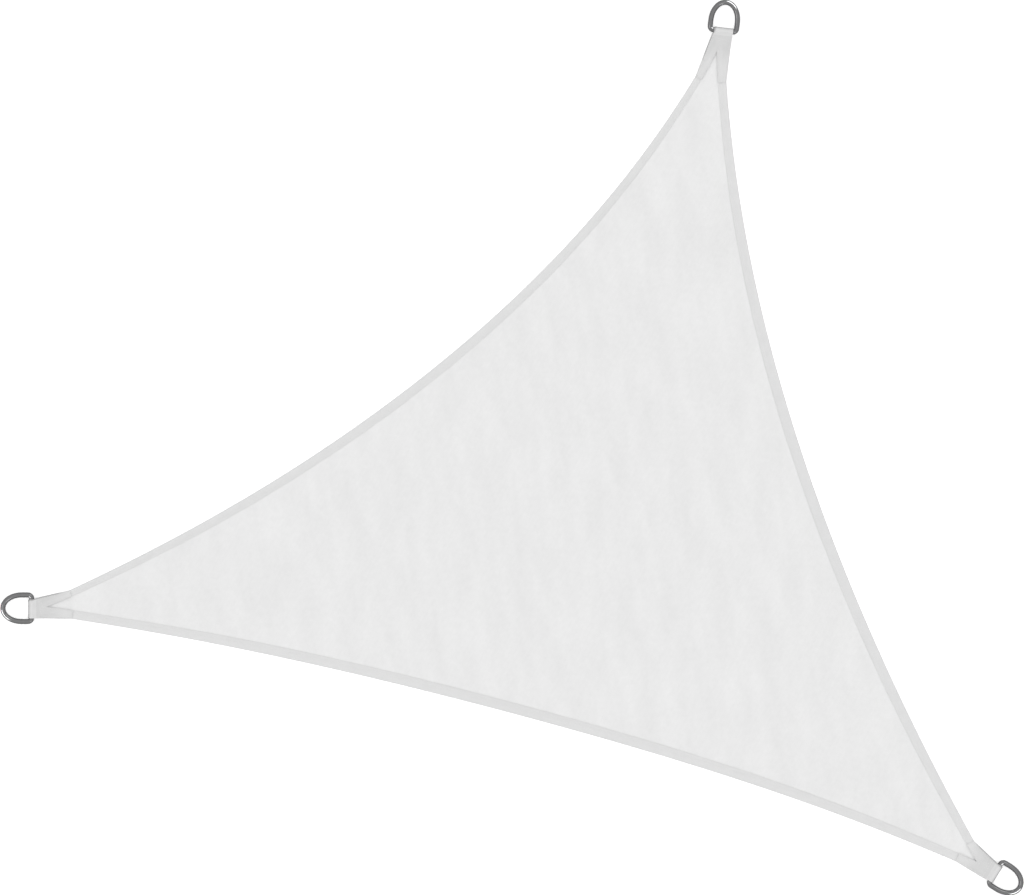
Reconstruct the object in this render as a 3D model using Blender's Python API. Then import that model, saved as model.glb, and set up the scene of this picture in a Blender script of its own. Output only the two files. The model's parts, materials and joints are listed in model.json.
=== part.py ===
"""A triangular shade sail, laid out flat and face up.

The sail is one panel of knitted shade cloth with three hollow (inward curved) edges. Webbing is folded
lengthwise over each edge. At each corner a wider webbing tab is folded round the bar of a steel D-ring, and
its two ends, cut with a V notch, lie above and below the corner of the sail.

Metres, +Z up. The sail rests on the surface z = 0 and the origin is the middle of its outline there.
"""

from collections import namedtuple
from math import cos, pi, radians, sin, sqrt

import bmesh
import bpy
from mathutils import Vector

# The sail's outline: straight corner to corner lengths, and how the lower edge is turned from +X.
UPPER_LENGTH = 1.914
SIDE_LENGTH = 1.874
LOWER_LENGTH = 2.116
LOWER_TURN = radians(-15.36)

# Each edge runs clockwise from its first corner to its second. Its hollow is a parabola where its power
# is 2 and flatter in the middle above that, and it is deepest a little off the middle (skew). The binding
# is widest at mid edge and tapers to its ends.
Edge = namedtuple("Edge", "name start end hollow power skew width_middle width_end")
EDGES = (
    Edge("upper", "left", "top", 0.1587, 2.06, 0.165, 0.0200, 0.0118),
    Edge("side", "top", "right", 0.1140, 2.03, -0.149, 0.0225, 0.0158),
    Edge("lower", "right", "left", 0.0659, 2.29, -0.105, 0.0225, 0.0170),
)

# How each corner's D-ring lies: the direction it points in, where the middle of its bar is from the sail's
# corner along that direction and to its left, how far the tab sits to the left along the bar, and how far
# from the corner the tab's legs reach.
Corner = namedtuple("Corner", "name before after heading bar_out bar_left tab_left leg_reach")
CORNERS = (
    Corner("left", "lower", "upper", radians(180.0), -0.0197, -0.0070, 0.0016, 0.104),
    Corner("top", "upper", "side", radians(83.0), -0.0073, 0.0006, -0.0016, 0.111),
    Corner("right", "side", "lower", radians(-32.0), -0.0073, 0.0112, -0.0016, 0.090),
)

# Cloth and webbing thicknesses, and the gap that pieces sewn face to face keep between them.
CLOTH_THICK = 0.0012
BINDING_THICK = 0.0012
TAB_THICK = 0.0016
GAP = 0.0003

# Binding: the rounding of its folded edge, and how far from the corner it is cut off.
FOLD_ROUND = 0.0009
BINDING_END = 0.038
BINDING_HEIGHT = 2 * BINDING_THICK + CLOTH_THICK + 2 * GAP
TAPER_POWER = 2.5

# Cloth: how far its edge stays inside the binding's fold, and how far from the corner it is cut square.
CLOTH_INSET = 0.0018
CLOTH_END = 0.042

# Near a corner the edges are lifted by the tab's lower layer: fully up to one distance from the corner,
# and down on the surface again past another.
LIFT = TAB_THICK + GAP
LIFT_FULL = 0.118
LIFT_NONE = 0.295

# Stations along an edge: close together over the corner, then evenly spaced.
CORNER_STATIONS = (0.046, 0.052, 0.060, 0.076, 0.096, LIFT_FULL, 0.150, 0.185, 0.220, 0.255, LIFT_NONE)
MIDDLE_STATIONS = 22

# The panel is made in rings of the outline's own shape, each this much of its size. The cloth leaves the
# binding at the third ring and lies on the surface from the fourth.
RING_SCALES = (1.0, 0.97, 0.94, 0.86, 0.70, 0.50, 0.30)
RAISED_RINGS = 3

# D-ring, along the middle of its wire.
WIRE_RADIUS = 0.0056
RING_LENGTH = 0.0609
RING_HALF_WIDTH = 0.0280
RING_LEG = 0.0220
BEND_RADIUS = 0.0075
BEND_STEPS = 4
BOW_STEPS = 15
WIRE_SIDES = 12

# Tab: half its width inside the ring and past it, its clearance round the bar, how far behind the bar its
# layers close together, and the steps of its turn round the bar and of its legs.
TAB_HALF_LOOP = 0.0197
TAB_HALF_BODY = 0.0222
LOOP_GAP = 0.0004
THROAT = 0.0145
LOOP_START = radians(118)
LOOP_STEPS = 10
LEG_STEPS = 3

LOOP_RADIUS = WIRE_RADIUS + LOOP_GAP + TAB_THICK / 2
BAR_HEIGHT = WIRE_RADIUS + LOOP_GAP + TAB_THICK
TAB_LOW = TAB_THICK / 2
TAB_HIGH = LIFT + BINDING_HEIGHT + GAP + TAB_THICK / 2

# Colour, metallic and roughness of each finish.
FINISHES = {
    "shade_cloth": ((0.82, 0.82, 0.82), 0.0, 0.85),
    "edge_webbing": ((0.72, 0.72, 0.72), 0.0, 0.70),
    "tab_webbing": ((0.66, 0.66, 0.66), 0.0, 0.65),
    "steel": ((0.42, 0.42, 0.42), 1.0, 0.28),
}


# ---- the sail's outline ----

def corner_points():
    """The points where the outer edges, drawn on, would meet, about the middle of the sail."""
    left = Vector((0.0, 0.0))
    right = LOWER_LENGTH * Vector((cos(LOWER_TURN), sin(LOWER_TURN)))
    along = (UPPER_LENGTH**2 - SIDE_LENGTH**2 + LOWER_LENGTH**2) / (2 * LOWER_LENGTH)
    above = sqrt(UPPER_LENGTH**2 - along**2)
    direction = right.normalized()
    top = along * direction + above * Vector((-direction.y, direction.x))
    centre = (left + top + right) / 3
    return {"left": left - centre, "top": top - centre, "right": right - centre}


POINTS = corner_points()
EDGE_NAMED = {edge.name: edge for edge in EDGES}


def chord(edge):
    return POINTS[edge.end] - POINTS[edge.start]


def inward(direction):
    """Inward lies to the right of an edge, because the edges run clockwise."""
    unit = direction.normalized()
    return Vector((unit.y, -unit.x))


def edge_point(edge, t):
    """The outer edge at t from 0 to 1."""
    off_middle = 2 * t - 1
    depth = edge.hollow * (1 - abs(off_middle) ** edge.power) * (1 + edge.skew * off_middle)
    return POINTS[edge.start] + t * chord(edge) + depth * inward(chord(edge))


def edge_direction(edge, t):
    step = 0.001
    ahead = edge_point(edge, min(t + step, 1.0))
    behind = edge_point(edge, max(t - step, 0.0))
    return (ahead - behind).normalized()


def binding_width(edge, t):
    taper = abs(2 * t - 1) ** TAPER_POWER
    return edge.width_middle + (edge.width_end - edge.width_middle) * taper


def stations(edge, first):
    """Values of t along an edge, from a distance first off one corner to the same distance off the other."""
    length = chord(edge).length
    ends = [first / length] + [distance / length for distance in CORNER_STATIONS]
    start = ends[-1]
    step = (1 - 2 * start) / (MIDDLE_STATIONS + 1)
    middle = [start + step * i for i in range(1, MIDDLE_STATIONS + 1)]
    return ends + middle + [1 - t for t in reversed(ends)]


def lift(point):
    """How far the sail is held off the surface there by the lower layer of the nearest tab."""
    distance = min((point - corner).length for corner in POINTS.values())
    return LIFT * min(max((LIFT_NONE - distance) / (LIFT_NONE - LIFT_FULL), 0.0), 1.0)


def leaving(corner):
    """The directions of the two edges as they leave a corner: the one before it, then the one after it."""
    before = -edge_direction(EDGE_NAMED[corner.before], 1.0)
    after = edge_direction(EDGE_NAMED[corner.after], 0.0)
    return before, after


def notch_point(corner):
    """Where the inner edges of the two bindings meet."""
    before, after = leaving(corner)
    width_before = EDGE_NAMED[corner.before].width_end
    width_after = EDGE_NAMED[corner.after].width_end
    sine = sin(before.angle(after))
    return POINTS[corner.name] + (width_after * before + width_before * after) / sine


def room_to_mitre(corner, point, direction):
    """The distance from an edge point, along its inward direction, to the line that halves the corner."""
    before, after = leaving(corner)
    halving = (before + after).normalized()
    across = Vector((-halving.y, halving.x))
    offset = (point - POINTS[corner.name]).dot(across)
    return abs(offset / direction.dot(across)) - GAP


# ---- meshes and materials ----

def material(name):
    colour, metallic, roughness = FINISHES[name]
    made = bpy.data.materials.new(name)
    made.use_nodes = True
    shader = made.node_tree.nodes["Principled BSDF"]
    shader.inputs["Base Color"].default_value = (*colour, 1.0)
    shader.inputs["Metallic"].default_value = metallic
    shader.inputs["Roughness"].default_value = roughness
    return made


def add_object(name, mesh, finish):
    piece = bpy.data.objects.new(name, mesh)
    if finish.name not in mesh.materials:
        mesh.materials.append(finish)
    bpy.context.collection.objects.link(piece)
    return piece


def join_rings(bm, rings, closed):
    """Quads between each row of vertices and the next, round each row where the rows are closed."""
    for here, beyond in zip(rings, rings[1:]):
        for i in range(len(here) if closed else len(here) - 1):
            j = (i + 1) % len(here)
            bm.faces.new((here[i], beyond[i], beyond[j], here[j]))


def mesh_from(name, bm, is_closed=True):
    if is_closed:
        bmesh.ops.recalc_face_normals(bm, faces=bm.faces)
    mesh = bpy.data.meshes.new(name)
    bm.to_mesh(mesh)
    bm.free()
    return mesh


def thicken(piece, thickness, offset):
    solidify = piece.modifiers.new("thickness", "SOLIDIFY")
    solidify.thickness = thickness
    solidify.offset = offset
    solidify.use_even_offset = True


def smooth_round(mesh):
    mesh.shade_smooth()
    mesh.set_sharp_from_angle(angle=radians(40))


# ---- cloth ----

def cloth_outline():
    """The cut panel's edge, just inside the fold of the binding."""
    outline = []
    for edge in EDGES:
        for t in stations(edge, CLOTH_END):
            outline.append(edge_point(edge, t) + CLOTH_INSET * inward(edge_direction(edge, t)))
    return outline


def make_cloth(finish):
    """The panel's underside in rings and a middle fan, given its thickness upwards by a modifier."""
    outline = cloth_outline()
    bm = bmesh.new()
    rings = []
    for number, scale in enumerate(RING_SCALES):
        ring = []
        for place in outline:
            point = scale * place
            height = BINDING_THICK + GAP + lift(point) if number < RAISED_RINGS else 0.0
            ring.append(bm.verts.new((point.x, point.y, height)))
        rings.append(ring)
    join_rings(bm, rings, closed=True)
    middle = bm.verts.new((0.0, 0.0, 0.0))
    for i, vertex in enumerate(rings[-1]):
        bm.faces.new((middle, vertex, rings[-1][i - 1]))
    name = "sail_cloth"
    cloth = add_object(name, mesh_from(name, bm, is_closed=False), finish)
    thicken(cloth, CLOTH_THICK, 1.0)
    return cloth


# ---- edge binding ----

def binding_profile(width):
    """Webbing folded over an edge, as (distance in from the fold, height) round its section."""
    top = BINDING_HEIGHT
    return (
        (width, 0.0),
        (FOLD_ROUND, 0.0),
        (0.0, FOLD_ROUND),
        (0.0, top - FOLD_ROUND),
        (FOLD_ROUND, top),
        (width, top),
        (width, top - BINDING_THICK),
        (BINDING_THICK, top - BINDING_THICK),
        (BINDING_THICK, BINDING_THICK),
        (width, BINDING_THICK),
    )


def make_binding(edge, finish):
    corner_at = {corner.name: corner for corner in CORNERS}
    bm = bmesh.new()
    sections = []
    for t in stations(edge, BINDING_END):
        point = edge_point(edge, t)
        direction = inward(edge_direction(edge, t))
        corner = corner_at[edge.start if t < 0.5 else edge.end]
        width = min(binding_width(edge, t), room_to_mitre(corner, point, direction))
        section = []
        for inset, height in binding_profile(width):
            place = point + inset * direction
            section.append(bm.verts.new((place.x, place.y, height + lift(place))))
        sections.append(section)
    join_rings(bm, sections, closed=True)
    bm.faces.new(reversed(sections[0]))
    bm.faces.new(sections[-1])
    name = "binding_" + edge.name
    return add_object(name, mesh_from(name, bm), finish)


# ---- D-ring ----

def ring_path():
    """The middle of the D-ring's wire: bar on the Y axis, legs and bow towards +X."""
    points = []
    straight = RING_HALF_WIDTH - BEND_RADIUS
    for step in range(BEND_STEPS + 1):
        angle = pi + (pi / 2) * step / BEND_STEPS
        points.append((BEND_RADIUS + BEND_RADIUS * cos(angle), -straight + BEND_RADIUS * sin(angle)))
    bow_length = RING_LENGTH - RING_LEG
    for step in range(BOW_STEPS + 1):
        angle = -pi / 2 + pi * step / BOW_STEPS
        points.append((RING_LEG + bow_length * cos(angle), RING_HALF_WIDTH * sin(angle)))
    for step in range(BEND_STEPS + 1):
        angle = pi / 2 + (pi / 2) * step / BEND_STEPS
        points.append((BEND_RADIUS + BEND_RADIUS * cos(angle), straight + BEND_RADIUS * sin(angle)))
    return points


def ring_mesh():
    """A closed tube along the path. Its sides are turned so that a flat one faces into the eye."""
    path = [Vector(point) for point in ring_path()]
    bm = bmesh.new()
    sections = []
    for i, point in enumerate(path):
        before = (point - path[i - 1]).normalized()
        after = (path[(i + 1) % len(path)] - point).normalized()
        direction = (before + after).normalized()
        outward = Vector((direction.y, -direction.x)) / direction.dot(after)
        section = []
        for side in range(WIRE_SIDES):
            angle = 2 * pi * (side + 0.5) / WIRE_SIDES
            place = point + WIRE_RADIUS * cos(angle) * outward
            section.append(bm.verts.new((place.x, place.y, WIRE_RADIUS * sin(angle))))
        sections.append(section)
    join_rings(bm, sections + sections[:1], closed=True)
    mesh = mesh_from("d_ring", bm)
    smooth_round(mesh)
    return mesh


def ring_tilt():
    """The slope that brings the flat underside of the bow down on the surface."""
    half_side = pi / WIRE_SIDES
    drop = BAR_HEIGHT - WIRE_RADIUS * cos(half_side)
    return drop / (RING_LENGTH + WIRE_RADIUS * sin(half_side))


# ---- corner tab ----

def ring_frame(corner):
    """The middle of the ring's bar, the direction out along the ring, and the direction to its left."""
    out = Vector((cos(corner.heading), sin(corner.heading)))
    left = Vector((-out.y, out.x))
    return POINTS[corner.name] + corner.bar_out * out + corner.bar_left * left, out, left


def edge_from(corner, edge, distance):
    """The value of t on an edge at a distance from one of its corners."""
    share = distance / chord(edge).length
    return share if edge.start == corner.name else 1 - share


class TabSurface:
    """The middle surface of one tab, made layer by layer along the webbing."""

    def __init__(self, corner):
        self.corner = corner
        self.bm = bmesh.new()
        bar, self.out, self.left = ring_frame(corner)
        self.middle = bar + corner.tab_left * self.left
        self.notch = notch_point(corner)
        self.body_out = (self.middle - self.notch).normalized()
        self.body_left = Vector((-self.body_out.y, self.body_out.x))
        self.throat = self.middle - THROAT * self.body_out

    def vertex(self, point, height):
        return self.bm.verts.new((point.x, point.y, height))

    def row(self, point, half, height):
        """Three vertices across the tab, from its left side to its right."""
        return [self.vertex(point + side * half, height) for side in (1, 0, -1)]

    def loop_row(self, along, height):
        return self.row(self.middle + along * self.out, TAB_HALF_LOOP * self.left, height)

    def throat_row(self, height):
        return self.row(self.throat, TAB_HALF_BODY * self.body_left, height)

    def leg(self, side, edge, tip, height):
        """Quads from a leg's end to the notch; returns the outer vertex beside the notch."""
        reach = self.corner.leg_reach
        start = (self.notch - POINTS[self.corner.name]).length
        throat_side = self.throat + side * TAB_HALF_BODY * self.body_left
        leg_end = edge_point(edge, edge_from(self.corner, edge, reach))
        share = (throat_side - self.notch).dot(self.body_out) / (throat_side - leg_end).dot(self.body_out)
        beside_notch = throat_side.lerp(leg_end, share)
        rows = []
        for step in range(LEG_STEPS):
            along = 1 - step / LEG_STEPS
            t = edge_from(self.corner, edge, start + (reach - start) * along)
            inner = edge_point(edge, t) + binding_width(edge, t) * inward(edge_direction(edge, t))
            outer = beside_notch.lerp(leg_end, along)
            rows.append((self.vertex(outer, height), self.vertex(inner, height)))
        rows.append((self.vertex(beside_notch, height), tip))
        join_rings(self.bm, rows, closed=False)
        return rows[-1][0]

    def legs(self, height):
        """Both legs of one layer; returns its row of three vertices across the notch."""
        tip = self.vertex(self.notch, height)
        on_left = self.leg(1, EDGE_NAMED[self.corner.before], tip, height)
        on_right = self.leg(-1, EDGE_NAMED[self.corner.after], tip, height)
        return [on_left, tip, on_right]

    def build(self):
        rows = [self.legs(TAB_HIGH), self.throat_row(TAB_HIGH)]
        for step in range(LOOP_STEPS + 1):
            angle = LOOP_START - (LOOP_START + pi / 2) * step / LOOP_STEPS
            rows.append(self.loop_row(LOOP_RADIUS * cos(angle), BAR_HEIGHT + LOOP_RADIUS * sin(angle)))
        rows += [self.throat_row(TAB_LOW), self.legs(TAB_LOW)]
        join_rings(self.bm, rows, closed=False)
        return self.bm


def make_tab(corner, finish):
    """Webbing folded round the bar, its two notched ends over and under the corner of the sail."""
    name = "tab_" + corner.name
    tab = add_object(name, mesh_from(name, TabSurface(corner).build()), finish)
    thicken(tab, TAB_THICK, 0.0)
    return tab


# ---- assembly ----

def centre_on_surface(pieces):
    """Slide everything so that the middle of its box stands over the origin."""
    bpy.context.view_layer.update()
    depsgraph = bpy.context.evaluated_depsgraph_get()
    points = []
    for piece in pieces:
        shown = piece.evaluated_get(depsgraph)
        points += [shown.matrix_world @ vertex.co for vertex in shown.to_mesh().vertices]
        shown.to_mesh_clear()
    shift = [-(min(p[axis] for p in points) + max(p[axis] for p in points)) / 2 for axis in (0, 1)]
    for piece in pieces:
        piece.location.x += shift[0]
        piece.location.y += shift[1]


def main():
    for old in list(bpy.data.objects):
        bpy.data.objects.remove(old)
    finishes = {name: material(name) for name in FINISHES}
    pieces = [make_cloth(finishes["shade_cloth"])]
    pieces += [make_binding(edge, finishes["edge_webbing"]) for edge in EDGES]
    pieces += [make_tab(corner, finishes["tab_webbing"]) for corner in CORNERS]
    d_ring = ring_mesh()
    for corner in CORNERS:
        ring = add_object("ring_" + corner.name, d_ring, finishes["steel"])
        bar = ring_frame(corner)[0]
        ring.location = (bar.x, bar.y, BAR_HEIGHT)
        ring.rotation_euler = (0.0, ring_tilt(), corner.heading)
        pieces.append(ring)
    centre_on_surface(pieces)


main()
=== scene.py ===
import json
import math

import bmesh
import bpy
import numpy as np
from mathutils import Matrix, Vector, noise
from mathutils.bvhtree import BVHTree
from mathutils.geometry import delaunay_2d_cdt


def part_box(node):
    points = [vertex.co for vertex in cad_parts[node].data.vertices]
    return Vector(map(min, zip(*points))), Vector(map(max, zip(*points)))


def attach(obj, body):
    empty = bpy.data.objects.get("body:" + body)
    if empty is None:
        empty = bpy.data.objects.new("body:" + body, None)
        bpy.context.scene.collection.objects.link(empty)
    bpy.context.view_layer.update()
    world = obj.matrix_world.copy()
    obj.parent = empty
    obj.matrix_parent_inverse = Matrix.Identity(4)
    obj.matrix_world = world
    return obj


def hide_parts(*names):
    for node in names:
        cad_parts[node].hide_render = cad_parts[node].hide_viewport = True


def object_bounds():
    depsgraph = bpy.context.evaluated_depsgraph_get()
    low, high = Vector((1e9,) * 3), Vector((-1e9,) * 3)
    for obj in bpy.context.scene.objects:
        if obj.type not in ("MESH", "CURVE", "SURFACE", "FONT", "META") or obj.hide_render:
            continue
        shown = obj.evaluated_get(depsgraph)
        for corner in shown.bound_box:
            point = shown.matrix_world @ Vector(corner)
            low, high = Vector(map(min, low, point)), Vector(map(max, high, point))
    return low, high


# A triangular shade sail laid flat, face up. The edges, corners and heights are all read from the frame.
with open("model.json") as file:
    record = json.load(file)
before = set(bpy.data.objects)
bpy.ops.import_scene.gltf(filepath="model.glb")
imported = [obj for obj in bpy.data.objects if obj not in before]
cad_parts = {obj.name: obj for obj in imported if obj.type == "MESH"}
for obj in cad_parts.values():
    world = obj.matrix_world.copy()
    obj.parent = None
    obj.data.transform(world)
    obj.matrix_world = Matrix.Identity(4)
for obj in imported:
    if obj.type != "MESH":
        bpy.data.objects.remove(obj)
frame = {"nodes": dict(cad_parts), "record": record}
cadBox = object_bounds()
cadNodes = frame["nodes"]
mounts = {mount["name"]: mount for mount in frame["record"]["mounts"]}
scene = bpy.context.scene
bpy.ops.object.select_all(action="DESELECT")

corners = ("left", "top", "right")
edges = {"upper": ("left", "top"), "side": ("top", "right"), "lower": ("right", "left")}


# What every piece goes through

def selectOnly(piece):
    bpy.ops.object.select_all(action="DESELECT")
    piece.select_set(True)
    bpy.context.view_layer.objects.active = piece


def applyModifier(piece, kind, **settings):
    modifier = piece.modifiers.new(kind.lower(), kind)
    for name, value in settings.items():
        setattr(modifier, name, value)
    selectOnly(piece)
    bpy.ops.object.modifier_apply(modifier=modifier.name)


def makePiece(name, points, faces):
    mesh = bpy.data.meshes.new(name)
    mesh.from_pydata([tuple(point) for point in points], [], faces)
    mesh.update()
    piece = bpy.data.objects.new(name, mesh)
    scene.collection.objects.link(piece)
    return piece


def copyOfNode(name, pieceName):
    # a CAD node comes as loose triangles, so its copy is merged into one skin of quads
    piece = bpy.data.objects.new(pieceName, cadNodes[name].data.copy())
    piece.data.materials.clear()
    scene.collection.objects.link(piece)
    selectOnly(piece)
    bpy.ops.mesh.customdata_custom_splitnormals_clear()
    bpy.ops.object.mode_set(mode="EDIT")
    bpy.ops.mesh.select_all(action="SELECT")
    bpy.ops.mesh.remove_doubles(threshold=0.00002)
    bpy.ops.mesh.normals_make_consistent(inside=False)
    bpy.ops.mesh.tris_convert_to_quads(face_threshold=math.radians(2), shape_threshold=math.radians(60))
    bpy.ops.object.mode_set(mode="OBJECT")
    return piece


def smoothShade(piece, angle=60):
    selectOnly(piece)
    bpy.ops.object.shade_smooth_by_angle(angle=math.radians(angle))


def finishPiece(piece, material, slotName, *nodes):
    piece.data.materials.clear()
    piece.data.materials.append(material)
    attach(piece, "root")
    if nodes:
        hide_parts(*nodes)


def treeOf(piece):
    depsgraph = bpy.context.evaluated_depsgraph_get()
    return BVHTree.FromObject(piece, depsgraph)


def heightOf(tree, x, y, below=False):
    # the surface seen from above, or from below
    side = -1 if below else 1
    hit = tree.ray_cast(Vector((x, y, 0.1 * side)), Vector((0, 0, -side)))[0]
    return None if hit is None else hit.z


def smoothStep(value):
    value = min(max(value, 0.0), 1.0)
    return value * value * (3 - 2 * value)


def setUv(piece, uvOfVertex):
    layer = piece.data.uv_layers.new(name="webbingUv")
    vertexOfLoop = np.zeros(len(piece.data.loops), np.int32)
    piece.data.loops.foreach_get("vertex_index", vertexOfLoop)
    layer.data.foreach_set("uv", np.asarray(uvOfVertex, np.float32)[vertexOfLoop].ravel())


# Shader building

def addNode(tree, kind, settings=None, values=None, links=None):
    made = tree.nodes.new(kind)
    for name, value in (settings or {}).items():
        setattr(made, name, value)
    for socket, value in (values or {}).items():
        made.inputs[socket].default_value = value
    for socket, source in (links or {}).items():
        tree.links.new(source, made.inputs[socket])
    return made


def calc(tree, operation, *terms):
    made = tree.nodes.new("ShaderNodeMath")
    made.operation = operation
    for i, term in enumerate(terms):
        if isinstance(term, bpy.types.NodeSocket):
            tree.links.new(term, made.inputs[i])
        else:
            made.inputs[i].default_value = term
    return made.outputs[0]


def newGroup(name, inputs, outputs):
    group = bpy.data.node_groups.new(name, "ShaderNodeTree")
    for label, kind, value in inputs:
        socket = group.interface.new_socket(name=label, in_out="INPUT", socket_type=kind)
        if value is not None:
            socket.default_value = value
    for label, kind in outputs:
        group.interface.new_socket(name=label, in_out="OUTPUT", socket_type=kind)
    return group, group.nodes.new("NodeGroupInput"), group.nodes.new("NodeGroupOutput")


def placeGroup(tree, group, values, links):
    made = tree.nodes.new("ShaderNodeGroup")
    made.node_tree = group
    for socket, value in values.items():
        made.inputs[socket].default_value = value
    for socket, source in links.items():
        tree.links.new(source, made.inputs[socket])
    return made


def newMaterial(name, metallic=0.0, specular=0.5):
    material = bpy.data.materials.new(name)
    material.use_nodes = True
    tree = material.node_tree
    shader = tree.nodes["Principled BSDF"]
    shader.inputs["Metallic"].default_value = metallic
    shader.inputs["Specular IOR Level"].default_value = specular
    return material, tree, shader


def mottleGroup():
    # soft patches that lighten and darken a colour a little
    group, ins, outs = newGroup(
        "softMottle",
        [("Vector", "NodeSocketVector", None), ("Color", "NodeSocketColor", (0.8, 0.8, 0.8, 1)),
         ("Scale", "NodeSocketFloat", 10.0), ("Amount", "NodeSocketFloat", 0.02)],
        [("Color", "NodeSocketColor"), ("Patches", "NodeSocketFloat")])
    patches = addNode(group, "ShaderNodeTexNoise", {"noise_dimensions": "3D"}, {"Detail": 3.0, "Roughness": 0.55},
                      {"Vector": ins.outputs["Vector"], "Scale": ins.outputs["Scale"]})
    centred = calc(group, "SUBTRACT", patches.outputs["Fac"], 0.5)
    gain = calc(group, "ADD", calc(group, "MULTIPLY", centred, ins.outputs["Amount"]), 1.0)
    tinted = addNode(group, "ShaderNodeVectorMath", {"operation": "SCALE"},
                     links={0: ins.outputs["Color"], "Scale": gain})
    group.links.new(tinted.outputs["Vector"], outs.inputs["Color"])
    group.links.new(patches.outputs["Fac"], outs.inputs["Patches"])
    return group


def weaveGroup():
    # woven webbing: raised yarns in columns, each column half a step on from the last
    group, ins, outs = newGroup(
        "webbingWeave",
        [("Vector", "NodeSocketVector", None), ("Along", "NodeSocketFloat", 0.002),
         ("Across", "NodeSocketFloat", 0.0015)],
        [("Height", "NodeSocketFloat"), ("Valley", "NodeSocketFloat")])
    place = addNode(group, "ShaderNodeSeparateXYZ", links={0: ins.outputs["Vector"]})
    column = calc(group, "DIVIDE", place.outputs["Y"], ins.outputs["Across"])
    step = calc(group, "DIVIDE", place.outputs["X"], ins.outputs["Along"])
    odd = calc(group, "FLOORED_MODULO", calc(group, "FLOOR", column), 2.0)
    shifted = calc(group, "ADD", step, calc(group, "MULTIPLY", odd, 0.5))
    yarn = calc(group, "ABSOLUTE", calc(group, "SINE", calc(group, "MULTIPLY", shifted, math.pi)))
    side = calc(group, "ABSOLUTE", calc(group, "SINE", calc(group, "MULTIPLY", column, math.pi)))
    rounded = calc(group, "POWER", calc(group, "MULTIPLY", yarn, side), 0.75)
    group.links.new(rounded, outs.inputs["Height"])
    group.links.new(calc(group, "SUBTRACT", 1.0, rounded), outs.inputs["Valley"])
    return group


def shadedBy(tree, colour, mask, depth):
    # the colour, darkened by up to depth where the mask is 1
    gain = calc(tree, "SUBTRACT", 1.0, calc(tree, "MULTIPLY", mask, depth))
    return addNode(tree, "ShaderNodeVectorMath", {"operation": "SCALE"}, links={0: colour, "Scale": gain}).outputs[0]


def bumpFrom(tree, shader, height, distance, strength):
    bump = addNode(tree, "ShaderNodeBump", values={"Distance": distance, "Strength": strength},
                   links={"Height": height})
    tree.links.new(bump.outputs["Normal"], shader.inputs["Normal"])


# Finishes

clothFinish = {
    "colour": (0.862, 0.862, 0.862, 1),
    "turn": 8.0,  # degrees that the knit's columns, and the cloth's troughs, lean from the sail's Y axis
    "column": 0.0026,
    "loop": 0.0019,
    "chainWidth": 3.2,  # higher is narrower
    "tapeHeight": 0.55,  # of the slanting tapes, beside chains of height 1
    "knitDepth": 0.0003,
    "hollowShade": 0.16,
    "streakWidth": 0.045,
    "streakLength": 0.15,
    "streakAmount": 0.13,
    "patchScale": 90.0,
    "patchAmount": 0.07,
    "roughness": 0.74,
}


def makeClothMaterial(mottle):
    look = clothFinish
    material, tree, shader = newMaterial("shadeClothKnit", specular=0.2)
    place = tree.nodes.new("ShaderNodeTexCoord")
    turned = addNode(tree, "ShaderNodeMapping", values={"Rotation": (0, 0, math.radians(-look["turn"]))},
                     links={"Vector": place.outputs["Object"]})
    split = addNode(tree, "ShaderNodeSeparateXYZ", links={0: turned.outputs["Vector"]})
    across = calc(tree, "DIVIDE", split.outputs["X"], look["column"])
    along = calc(tree, "DIVIDE", split.outputs["Y"], look["loop"])
    offColumn = calc(tree, "ABSOLUTE", calc(tree, "SUBTRACT", calc(tree, "FRACT", across), 0.5))
    fall = calc(tree, "MINIMUM", calc(tree, "MULTIPLY", offColumn, look["chainWidth"]), 1.0)
    ridge = calc(tree, "SUBTRACT", 1.0, fall)
    loops = calc(tree, "ABSOLUTE", calc(tree, "SINE", calc(tree, "MULTIPLY", along, math.pi)))
    chain = calc(tree, "MULTIPLY", ridge, calc(tree, "ADD", calc(tree, "MULTIPLY", loops, 0.45), 0.55))
    parity = calc(tree, "FLOORED_MODULO", calc(tree, "FLOOR", across), 2.0)
    slant = calc(tree, "ADD", calc(tree, "ADD", along, offColumn), calc(tree, "MULTIPLY", parity, 0.5))
    tape = calc(tree, "ABSOLUTE", calc(tree, "SINE", calc(tree, "MULTIPLY", slant, math.pi)))
    knit = calc(tree, "MAXIMUM", chain, calc(tree, "MULTIPLY", tape, look["tapeHeight"]))
    hollow = calc(tree, "SUBTRACT", 1.0, knit)
    stretched = addNode(
        tree, "ShaderNodeMapping",
        values={"Scale": (1 / look["streakWidth"], 1 / look["streakLength"], 1.0)},
        links={"Vector": turned.outputs["Vector"]})
    streaks = placeGroup(tree, mottle, {"Color": look["colour"], "Scale": 1.0, "Amount": look["streakAmount"]},
                         {"Vector": stretched.outputs["Vector"]})
    patches = placeGroup(tree, mottle, {"Scale": look["patchScale"], "Amount": look["patchAmount"]},
                         {"Vector": place.outputs["Object"], "Color": streaks.outputs["Color"]})
    colour = shadedBy(tree, patches.outputs["Color"], calc(tree, "POWER", hollow, 2.0), look["hollowShade"])
    tree.links.new(colour, shader.inputs["Base Color"])
    roughness = calc(tree, "ADD", calc(tree, "MULTIPLY", hollow, 0.15), look["roughness"])
    tree.links.new(roughness, shader.inputs["Roughness"])
    bumpFrom(tree, shader, knit, look["knitDepth"], 0.7)
    return material


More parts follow.
